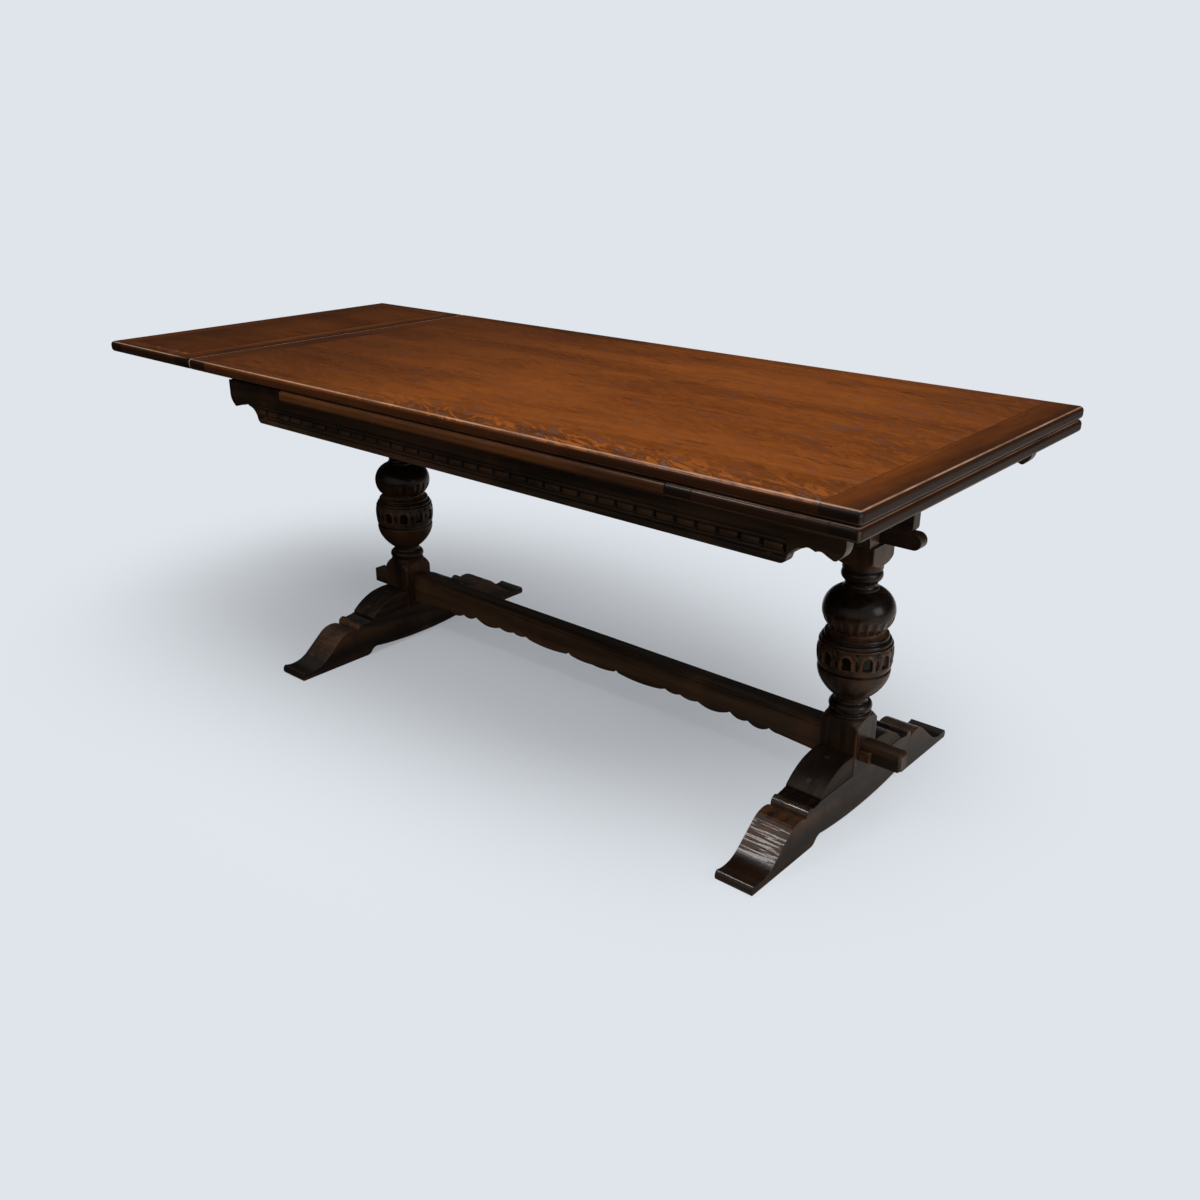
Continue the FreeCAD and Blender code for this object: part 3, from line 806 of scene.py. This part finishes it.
@dataclass
class Pillar:
    """A turned pillar with an arcaded cup and a gouged bulb, left square at both ends."""

    x: float
    name: str
    half_block: float = 40.5
    steps: int = 264
    arches: int = 11
    arch_turn: float = 0.12
    band: Range = (310.0, 357.0)
    groove: Range = (303.0, 308.5)
    cup_radius: float = 71.0
    spring: float = 27.5
    niche_depth: float = 5.0
    gouges: int = 24
    gouged: Range = (386.0, 419.0)
    gouge_depth: float = 2.2
    square_below: float = 203.4
    square_above: float = 514.0
    corner_power: float = 44.0
    core: float = 20.0
    bowl: Range = (243.0, 303.0)
    neck: Range = (376.0, 386.0)
    proud: float = 66.0
    # Darker bands on the turning: share, start, full, fading and end heights, in millimetres.
    darker_bands: tuple[tuple[float, ...], ...] = ((0.75, 416.0, 436.0, 503.0, 512.0),
                                             (0.6, 205.0, 208.0, 240.0, 244.0),
                                             (0.5, 357.0, 359.0, 374.0, 377.0))

    def outline(self) -> "Profile":
        """The outline from the foot to the head, as it would be without the square ends."""
        path = Profile(0.0, 90.0)
        path.line(59.0, 90.0).line(59.0, 120.0).line(59.0, 150.0).line(59.0, 180.0)
        path.arc((52.5, 194.5), (41.4, 203.0), 16).line(39.4, 203.8)
        path.arc((41.2, 206.8), (39.2, 209.8), 6).line(37.2, 210.8).line(36.6, 212.2)
        path.arc((42.0, 222.0), (35.8, 231.8), 14).line(33.2, 232.6).line(31.8, 235.0)
        path.line(31.5, 239.0).line(32.2, 242.4).line(33.8, 243.6)
        path.arc((52.5, 261.0), (64.2, 279.0), 18).arc((68.2, 290.0), (69.8, 301.0), 8)
        path.line(69.0, 302.8).line(66.4, 303.6).line(66.0, 307.6).line(69.6, 309.0)
        path.arc((72.6, 333.0), (70.2, 357.6), 46).line(69.2, 358.8).line(67.0, 359.2)
        path.arc((67.2, 363.0), (64.6, 366.8), 6).line(61.4, 367.6).line(61.0, 368.8)
        path.arc((61.6, 373.0), (58.4, 376.8), 6).line(55.0, 377.8).line(53.6, 379.6)
        path.arc((51.2, 382.4), (51.8, 385.0), 4)
        path.arc((68.6, 423.0), (38.0, 463.0), 54).line(34.6, 463.6).line(34.2, 467.4)
        path.arc((30.6, 474.5), (34.0, 481.6), 8).arc((39.0, 493.0), (34.0, 502.6), 12)
        path.line(37.6, 503.8).line(38.2, 505.4).line(38.2, 513.0).line(40.5, 515.4)
        path.arc((51.0, 521.5), (59.0, 533.0), 12).line(59.0, 558.0).line(0.0, 558.0)
        return path

    def build(self) -> None:
        """Turn the outline round, plane the square ends and carve the cup and the bulb."""
        piece = Piece(f"{self.name}_turned")
        points = self.outline().points
        verts = [piece.mesh.verts.new((self.x + radius, 0.0, height)) for radius, height in points]
        edges = [piece.mesh.edges.new(pair) for pair in zip(verts, verts[1:])]
        bmesh.ops.spin(piece.mesh, geom=[*verts, *edges], cent=(self.x, 0.0, 0.0), axis=(0.0, 0.0, 1.0),
                       angle=math.tau, steps=self.steps, use_merge=True)
        bmesh.ops.remove_doubles(piece.mesh, verts=piece.mesh.verts, dist=SNAP)
        for vert in piece.mesh.verts:
            self.carve(piece, vert)
        piece.finish(Body.FRAME, Slot.FRAME, TURNED_OAK, Grain.UPRIGHT, ["pillars"])

    def carve(self, piece: Piece, vert: bmesh.types.BMVert) -> None:
        """Move one point of the turned surface in and mark it.

        Args:
            piece: The turned piece.
            vert: The point.
        """
        out = Vector((vert.co.x - self.x, vert.co.y, 0.0))
        radius, height = out.length / MM, vert.co.z / MM
        if radius < self.core:
            return
        turn = math.atan2(out.y, out.x)
        if height < self.square_below or height > self.square_above:
            self.plane_square(piece, vert, out, turn)
            return
        depth, worn, deep = 0.0, self.ring_wear(radius, height), self.darkening(height)
        if self.band[0] < height < self.band[1]:
            depth, worn, deep = self.arcade(turn, height - self.band[0])
        elif self.gouged[0] < height < self.gouged[1] + 6.0:
            depth, worn, deep = self.gouge(turn, height)
            deep = max(deep, self.darkening(height))
        elif self.groove[0] < height < self.groove[1]:
            deep = 0.85
        vert[piece.worn], vert[piece.deep] = worn, deep
        vert.co -= out.normalized() * depth * MM

    def plane_square(self, piece: Piece, vert: bmesh.types.BMVert, out: Vector, turn: float) -> None:
        """Hold a point of a square end within its four faces, with slightly rounded corners.

        Args:
            piece: The turned piece.
            vert: The point.
            out: Its way out from the axis.
            turn: Its angle round the pillar.
        """
        power = self.corner_power
        across = (abs(math.cos(turn)) ** power + abs(math.sin(turn)) ** power) ** (-1.0 / power)
        limit = self.half_block * across * MM
        at_corner = smooth(across, 1.34, 1.39)
        head = 0.45 if vert.co.z > self.square_above * MM else 0.1
        vert[piece.worn] = max(head, 0.7 * at_corner)
        if out.length > limit:
            vert.co -= out.normalized() * (out.length - limit)

    def ring_wear(self, radius: float, height: float) -> float:
        """Wear on the proudest rings, on the bowl and round the neck between cup and bulb.

        Args:
            radius: The distance from the axis, in millimetres.
            height: The height above the floor, in millimetres.

        Returns:
            The wear, from 0 to 1.
        """
        if self.neck[0] < height <= self.neck[1]:
            return 0.5
        return 0.4 if self.bowl[0] < height < self.bowl[1] or radius > self.proud else 0.0

    def darkening(self, height: float) -> float:
        """How much darker the bulb and the rings above it, the rings above the cup's band and those below the
        bowl are made.
        """
        return max(share * smooth(height, start, full) * smooth(height, end, fading)
                   for share, start, full, fading, end in self.darker_bands)

    def arcade(self, turn: float, up: float) -> tuple[float, float, float]:
        """The arches round the cup.

        Args:
            turn: The angle round the pillar.
            up: The height above the lower edge of the band, in millimetres.

        Returns:
            The depth in millimetres, the wear and the darkness.
        """
        pitch = math.tau / self.arches
        half = pitch / 2 * self.cup_radius
        aside = abs(((turn - self.arch_turn) % pitch) - pitch / 2) * self.cup_radius
        reach = math.hypot(aside, up - self.spring) if up > self.spring else aside
        niche = smooth(reach, 9.4, 7.8) * smooth(up, 10.8, 12.6)
        arch = smooth(reach, 14.6, 13.2) * smooth(up, 9.0, 10.5) * (1.0 - niche)
        dart = self.lozenge(half - aside, up - 20.5, 3.6, 11.0)
        spandrel = self.lozenge(half - aside, up - 43.5, 5.0, 7.0) * smooth(up, 45.6, 44.4)
        ground = (1.0 - arch) * (1.0 - niche) * smooth(up, 8.4, 9.8) * smooth(up, 45.6, 44.4)
        depth = self.niche_depth * niche + 1.1 * ground + 2.4 * dart + 1.6 * spandrel
        deep = min(1.0, niche + 0.9 * dart + 0.7 * spandrel + 0.15 * ground)
        return depth, (0.42 + 0.4 * arch) * (1.0 - deep), deep

    @staticmethod
    def lozenge(aside: float, up: float, half_wide: float, half_high: float) -> float:
        """How far a point is inside a small lozenge, from 0 outside to 1 within."""
        return smooth(abs(aside) / half_wide + abs(up) / half_high, 1.2, 0.8)

    def gouge(self, turn: float, height: float) -> tuple[float, float, float]:
        """The upright gouges on the lower part of the bulb, of uneven length and depth.

        Args:
            turn: The angle round the pillar.
            height: The height above the floor, in millimetres.

        Returns:
            The depth in millimetres, the wear and the darkness.
        """
        pitch = math.tau / self.gouges
        number = math.floor(turn / pitch)
        aside = abs((turn % pitch) / pitch - 0.5) * 2.0
        ragged = noise.noise(Vector((number * 1.7, self.x * 9.0, 0.5)))
        top = self.gouged[1] + ragged * 7.0
        inside = smooth(aside, 0.86, 0.30) * smooth(height, top, top - 8.0) * (0.75 + 0.5 * ragged)
        ridge = smooth(aside, 0.70, 0.95) * smooth(height, top, top - 4.0)
        zone = smooth(height, top + 2.0, top - 6.0)
        return self.gouge_depth * inside, 0.30 * zone + 0.35 * ridge, 0.45 * inside * (1.0 - ridge)


class Profile:
    """An outline of a turned piece, in millimetres as drawn and in metres as kept."""

    def __init__(self, radius: float, height: float) -> None:
        """Start at a point."""
        self.points = [(radius * MM, height * MM)]

    def line(self, radius: float, height: float) -> "Profile":
        """A straight stretch to a point."""
        self.points.append((radius * MM, height * MM))
        return self

    def arc(self, through: Range, end: Range, count: int) -> "Profile":
        """A round stretch through one point to another.

        Args:
            through: A point on its way.
            end: Its end.
            count: How many steps it has.

        Returns:
            The outline itself.
        """
        first = Vector(self.points[-1]) / MM
        middle, last = Vector(through), Vector(end)
        centre = circle_centre(first, middle, last)
        start = math.atan2(first.y - centre.y, first.x - centre.x)
        total = signed_turn(start, centre, middle) + signed_turn(
            math.atan2(middle.y - centre.y, middle.x - centre.x), centre, last)
        radius = (first - centre).length
        for step in range(1, count + 1):
            turn = start + total * step / count
            self.line(centre.x + radius * math.cos(turn), centre.y + radius * math.sin(turn))
        return self


def circle_centre(first: Vector, middle: Vector, last: Vector) -> Vector:
    """The centre of the circle through three points of a plane.

    Args:
        first: The first point.
        middle: Another.
        last: The last one.

    Returns:
        The centre.
    """
    chord, other = middle - first, last - first
    twice = 2.0 * (chord.x * other.y - chord.y * other.x)
    across_x = (other.y * chord.length_squared - chord.y * other.length_squared) / twice
    across_y = (chord.x * other.length_squared - other.x * chord.length_squared) / twice
    return Vector((first.x + across_x, first.y + across_y))


def signed_turn(start: float, centre: Vector, point: Vector) -> float:
    """The shorter turn from an angle to a point, about a centre."""
    turn = math.atan2(point.y - centre.y, point.x - centre.x) - start
    return (turn + math.pi) % math.tau - math.pi


@dataclass(frozen=True)
class Zone:
    """A stretch of a foot, by the distance from its middle and the least height, and the mark it bears."""

    mark: str
    start: float
    end: float
    above: float
    value: float


@dataclass
class Feet:
    """The two sledge feet, with toes darkened by painted shade, worn humps and dark coves between bead and
    bracket.
    """

    nodes: tuple[str, ...] = ("foot_left", "foot_right")
    arris: float = 1.6 * MM
    # The toe zone is painted shade; the cove zone darkens the hollow.
    zones: tuple[Zone, ...] = (Zone("deep", 313 * MM, math.inf, 8 * MM, 0.9),
                               Zone("worn", 200 * MM, 272 * MM, 60 * MM, 0.75),
                               Zone("deep", 158 * MM, 187 * MM, 80 * MM, 0.8))

    def build(self) -> None:
        """Soften each foot and mark its worn places, its dark coves and the painted shade on its toes."""
        for node in self.nodes:
            piece = Piece(f"{node}_oak", node)
            piece.soften(self.arris)
            for vert in piece.mesh.verts:
                for zone in self.zones:
                    if zone.start < abs(vert.co.y) < zone.end and vert.co.z > zone.above:
                        mark = piece.deep if zone.mark == "deep" else piece.worn
                        vert[mark] = max(vert[mark], zone.value)
            piece.finish(Body.FRAME, Slot.FRAME, FOOT_OAK, Grain.ACROSS, [node], sharp=30.0)


@dataclass
class Stretcher:
    """The long scalloped board with a scratched bead below its top edge."""

    node: str = "stretcher"
    lines: tuple[float, ...] = (157.0 * MM, 165.5 * MM)
    line_wide: float = 3.0 * MM
    sunk: float = 1.4 * MM
    shoulder: float = 640 * MM
    arris: float = 1.4 * MM
    tenon_mark: float = 0.35
    top_mark: float = 0.6
    line_mark: float = 0.9

    def build(self) -> None:
        """Soften the board and scratch the lines of the bead."""
        piece = Piece(f"{self.node}_beaded", self.node)
        piece.soften(self.arris)
        step = self.line_wide / 2
        piece.cut_across([z + offset for z in self.lines for offset in (-step, 0.0, step)], 2)
        low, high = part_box(self.node)
        half, middle = high.y, (low.x + high.x) / 2
        for vert in piece.mesh.verts:
            if abs(vert.co.x - middle) > self.shoulder:
                vert[piece.deep] = self.tenon_mark
            elif vert.co.z > high.z - 1.0 * MM:
                vert[piece.deep] = self.top_mark
            on_face = abs(abs(vert.co.y) - half) < SNAP
            if on_face and any(abs(vert.co.z - line) < NEAR for line in self.lines):
                vert.co.y -= math.copysign(self.sunk, vert.co.y)
                vert[piece.deep] = self.line_mark
        piece.finish(Body.FRAME, Slot.FRAME, BOARD_OAK, Grain.ALONG, [self.node], sharp=28.0)


@dataclass
class Brackets:
    """The four brackets on the feet, with two plugs in line on each."""

    trestles: tuple[tuple[str, float], ...]
    arris: float = 1.6 * MM
    shade: float = 0.7
    shade_above: float = 92 * MM
    plug_places: Range = (75 * MM, 138 * MM)
    plug_size: Range = (5.2 * MM, 2.5 * MM)

    def build(self) -> None:
        """Make each bracket and set its plugs on its curved top."""
        for name, x in self.trestles:
            for side, label in ((-1, "front"), (1, "back")):
                node = f"bracket_{name}_{label}"
                piece = Piece(f"{node}_oak", node)
                piece.soften(self.arris)
                piece.mesh.normal_update()
                for vert in piece.mesh.verts:
                    outward = smooth(max(vert.normal.z, side * vert.normal.y), 0.75, 0.9)
                    vert[piece.deep] = self.shade * outward if vert.co.z > self.shade_above else 0.0
                made = piece.finish(Body.FRAME, Slot.FRAME, BRACKET_OAK, Grain.ACROSS, [node])
                for count, away in enumerate(self.plug_places, 1):
                    above = Vector((x, side * away, 0.3))
                    hit, place, normal, _ = made.ray_cast(above, Vector((0, 0, -1)))
                    if hit:
                        plug(f"{node}_plug_{count}", place, normal, self.plug_size, FRAME_OAK)


@dataclass(frozen=True)
class Lamp:
    """A soft square lamp that looks at a point, with its side in metres and its power in watts."""

    name: str
    place: Place
    target: Place
    side: float
    power: float

    def build(self) -> None:
        """Hang the lamp."""
        data = bpy.data.lights.new(self.name, "AREA")
        data.shape = "SQUARE"
        data.size = self.side
        data.energy = self.power
        made = added(self.name, data)
        made.location = self.place
        made.rotation_euler = (Vector(self.target) - Vector(self.place)).to_track_quat("-Z", "Y").to_euler()


@dataclass
class Studio:
    """The camera, lamps, floor and backdrop: a broad lamp above and two weaker ones at the sides."""

    camera_place: Place = (1.7790, -1.8478, 1.2696)
    look_round: float = 0.711
    look_down: float = 0.391
    lens: float = 35.0
    sensor: float = 36.0
    backdrop: Colour = (0.745, 0.783, 0.831)
    paper: Colour = (0.70, 0.738, 0.785)
    mirrored_near: Colour = (0.02, 0.02, 0.02)
    mirrored_far: Colour = (0.80, 0.80, 0.77)
    front: Place = (0.55, -0.80, 0.22)
    floor_half: float = 30.0
    floor_drop: float = 0.2 * MM
    lamps: tuple[Lamp, ...] = (
        Lamp("lamp_above", (0.75, -0.1, 3.05), (0.35, 0.0, 0.3), 2.3, 74.0),
        Lamp("lamp_right", (3.6, 0.2, 1.4), (0.4, 0.0, 0.4), 1.4, 24.0),
        Lamp("lamp_left", (-0.29, -1.36, 2.12), (0.8, -0.3, 0.1), 0.4, 11.0))

    def build(self) -> None:
        """Set up everything round the table."""
        self.camera()
        for lamp in self.lamps:
            lamp.build()
        self.world()
        self.floor()
        bpy.context.scene.view_settings.view_transform = "Standard"

    def camera(self) -> None:
        """The camera of the photograph."""
        data = bpy.data.cameras.new("camera")
        data.lens = self.lens
        data.sensor_width = self.sensor
        made = added("camera", data)
        made.location = self.camera_place
        made.rotation_euler = (math.pi / 2 - self.look_down, 0.0, self.look_round)
        bpy.context.scene.camera = made

    def world(self) -> None:
        """A pale backdrop for the camera and a dimmer sky, brighter overhead and in front, for the wood."""
        world = bpy.data.worlds.new("studio")
        bpy.context.scene.world = world
        world.use_nodes = True
        nodes = NodeTree(world.node_tree)
        where = nodes.node("TexCoord").outputs["Generated"]
        towards = nodes.node("VectorMath", {0: where, 1: Vector(self.front).normalized()},
                             operation="DOT_PRODUCT").outputs["Value"]
        overhead = nodes.span(nodes.parts(where)[2], 0.35, 1.0, (0.02, 0.35))
        ahead = nodes.span(towards, 0.1, 1.0, (0.0, 0.55))
        sky = nodes.glow("Background", WHITE, nodes.calc("ADD", overhead, ahead))
        seen = nodes.node("LightPath").outputs["Is Camera Ray"]
        nodes.blend(seen, sky, nodes.glow("Background", self.backdrop), nodes.node("OutputWorld"))

    def floor(self) -> None:
        """A wide pale floor that takes the shadow near the table and fades into the backdrop."""
        mesh = bmesh.new()
        bmesh.ops.create_grid(mesh, x_segments=1, y_segments=1, size=self.floor_half)
        data = bpy.data.meshes.new("floor")
        mesh.to_mesh(data)
        mesh.free()
        made = added("floor", data)
        made.location.z = -self.floor_drop
        data.materials.append(self.floor_paper())

    def floor_paper(self) -> bpy.types.Material:
        """Pale paper for the camera; what the wood mirrors of it is dark towards the front left.

        Returns:
            The filled material.
        """
        sheet = Sheet("floor_paper")
        seen = sheet.node("LightPath").outputs["Is Camera Ray"]
        x, y, _ = sheet.parts(sheet.place((0.45, 0.8, 1.0)))
        to_back = sheet.span(sheet.calc("ADD", x, y), -0.25, 0.75)
        mirrored = sheet.mix(to_back, self.mirrored_near, self.mirrored_far)
        sheet.dress(sheet.mix(seen, mirrored, self.paper), 0.9, 0.0)
        away = sheet.node("VectorMath", {0: sheet.place((0.75, 1.0, 1.0), (0.17, -0.10, 0.0))},
                          operation="LENGTH").outputs["Value"]
        faded = sheet.times(sheet.span(away, 0.42, 1.20, (0.34, 1.0)), seen)
        paper, glow = sheet.shader.outputs["BSDF"], sheet.glow("Emission", self.backdrop)
        sheet.blend(faded, paper, glow, sheet.output)
        return sheet.material


class Table:
    """The whole table, sub-assembly by sub-assembly."""

    veneer_dark: Colour = (0.116, 0.0290, 0.0042)
    veneer_light: Colour = (0.178, 0.0475, 0.0068)
    leaf_tone: float = 0.54
    clear_sides: float = 90 * MM

    def __init__(self) -> None:
        """Take the table's main places from the frame."""
        self.main = self.board("main_top", "left", "right")
        self.left = self.board("left_leaf", "inner", "outer")
        self.right = self.board("right_leaf", "inner", "outer")
        self.trestles = tuple((side, sum(corner.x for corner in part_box(f"foot_{side}")) / 2)
                              for side in ("left", "right"))

    @staticmethod
    def board(prefix: str, *cleats: str) -> Board:
        """A board's outline in plan, from its two cleats.

        Args:
            prefix: What the names of the board's nodes start with.
            cleats: The ends of the cleats' names.

        Returns:
            The outline.
        """
        boxes = [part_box(f"{prefix}_cleat_{cleat}") for cleat in cleats]
        low, high = min(box[0].x for box in boxes), max(box[1].x for box in boxes)
        return Board((low + high) / 2, (high - low) / 2, boxes[0][1].y)

    def panel(self, name: str, board: Board) -> PolishFinish:
        """A panel's finish: the leaves are duller than the main top and fade further in.

        Args:
            name: The finish's name.
            board: The board it lies on.

        Returns:
            The finish.
        """
        main = board is self.main
        tone, fade, flecks, clear = (1.0, 60 * MM, 0.8, self.clear_sides) if main else (
            self.leaf_tone, 90 * MM, 0.2, 0.0)
        dark, light = (tuple(tone * part for part in colour)
                       for colour in (self.veneer_dark, self.veneer_light))
        return PolishFinish(f"{name}_veneer", dark, light, (0.34, 0.13, 0.045), (0.022, 0.0068, 0.0025),
                            board, fade, flecks, clear_sides=clear)

    def edging(self, name: str, board: Board) -> PolishFinish:
        """The finish of a board's bands and cleats.

        Args:
            name: The finish's name.
            board: The board they edge.

        Returns:
            The finish.
        """
        # Only the main board's edging takes the painted highlight along its left end.
        clear, line = (self.clear_sides, 0.8) if board is self.main else (0.0, 0.0)
        return PolishFinish(f"{name}_edging", (0.074, 0.0190, 0.0034), (0.158, 0.042, 0.0058),
                            (0.40, 0.25, 0.17), (0.014, 0.0058, 0.0028), board, 60 * MM, 0.8,
                            clear_sides=clear, left_highlight=line)

    def boards(self) -> list[TopBoard]:
        """The three boards of the top.

        Returns:
            The boards, the main one first.
        """
        leaf = ("cleat_inner", "cleat_outer")
        rows = (("main_top", Body.TOP, self.main, "main", ("cleat_left", "cleat_right"), -1),
                ("left_leaf", Body.FRAME, self.left, "left", leaf, 1),
                ("right_leaf", Body.LEAF, self.right, "right", leaf, 0))
        return [TopBoard(prefix, body, board, self.panel(name, board), self.edging(name, board), cleats, met)
                for prefix, body, board, name, cleats, met in rows]

    def plain_pieces(self) -> list[PlainPieces]:
        """The rails, bearers, runners, keys and blocks.

        Returns:
            The pieces, in groups that are dressed alike.
        """
        centre = PolishFinish("centre_oak", (0.040, 0.017, 0.008), (0.100, 0.036, 0.012), (0.24, 0.10, 0.04),
                              (0.018, 0.008, 0.004), self.main, 20 * MM, 0.0, edge_dark=0.0)
        left, right = (tuple(f"{side}_leaf_{part}" for part in ("loper_front", "loper_back", "stop_blocks"))
                       for side in ("left", "right"))
        rails, bearers, keys = (
            tuple(f"{part}_{side}" for part in parts for side in ("left", "right"))
            for parts in (("end_rail", "inner_rail"), ("head_bearer",), ("key",)))
        rows = (
            (("centre_board",), Body.FRAME, Slot.CENTRE, centre, Grain.ALONG, 0.8),
            (left, Body.FRAME, Slot.INNER, INNER_OAK, Grain.ALONG, 1.0),
            (right, Body.LEAF, Slot.INNER, INNER_OAK, Grain.ALONG, 1.0),
            (rails, Body.FRAME, Slot.INNER, INNER_OAK, Grain.ACROSS, 1.0),
            (("corner_blocks",), Body.FRAME, Slot.INNER, INNER_OAK, Grain.UPRIGHT, 1.0),
            (("guide_pegs",), Body.TOP, Slot.INNER, INNER_OAK, Grain.UPRIGHT, 1.0),
            (bearers, Body.FRAME, Slot.FRAME, BOARD_OAK, Grain.ACROSS, 1.5),
            (("top_rail", "centre_bearer"), Body.FRAME, Slot.FRAME, FRAME_OAK, Grain.ALONG, 1.5),
            (keys, Body.FRAME, Slot.PEG, PEG_OAK, Grain.ACROSS, 1.2),
        )
        return [PlainPieces(*row) for row in rows]

    def build(self) -> None:
        """Build every sub-assembly in order."""
        for board in self.boards():
            board.build()
        for pieces in self.plain_pieces():
            pieces.build()
        for node, side in (("apron_front", -1), ("apron_back", 1)):
            Apron(node, side).build(self.main.centre_x)
        for name, x in self.trestles:
            Pillar(x, f"pillar_{name}").build()
        Feet().build()
        Stretcher().build()
        Brackets(self.trestles).build()


def main() -> None:
    """Build the table and its surroundings."""
    logging.basicConfig(level=logging.INFO, format="%(message)s")
    Table().build()
    Studio().build()
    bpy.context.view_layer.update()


if __name__ == "__main__":
    main()
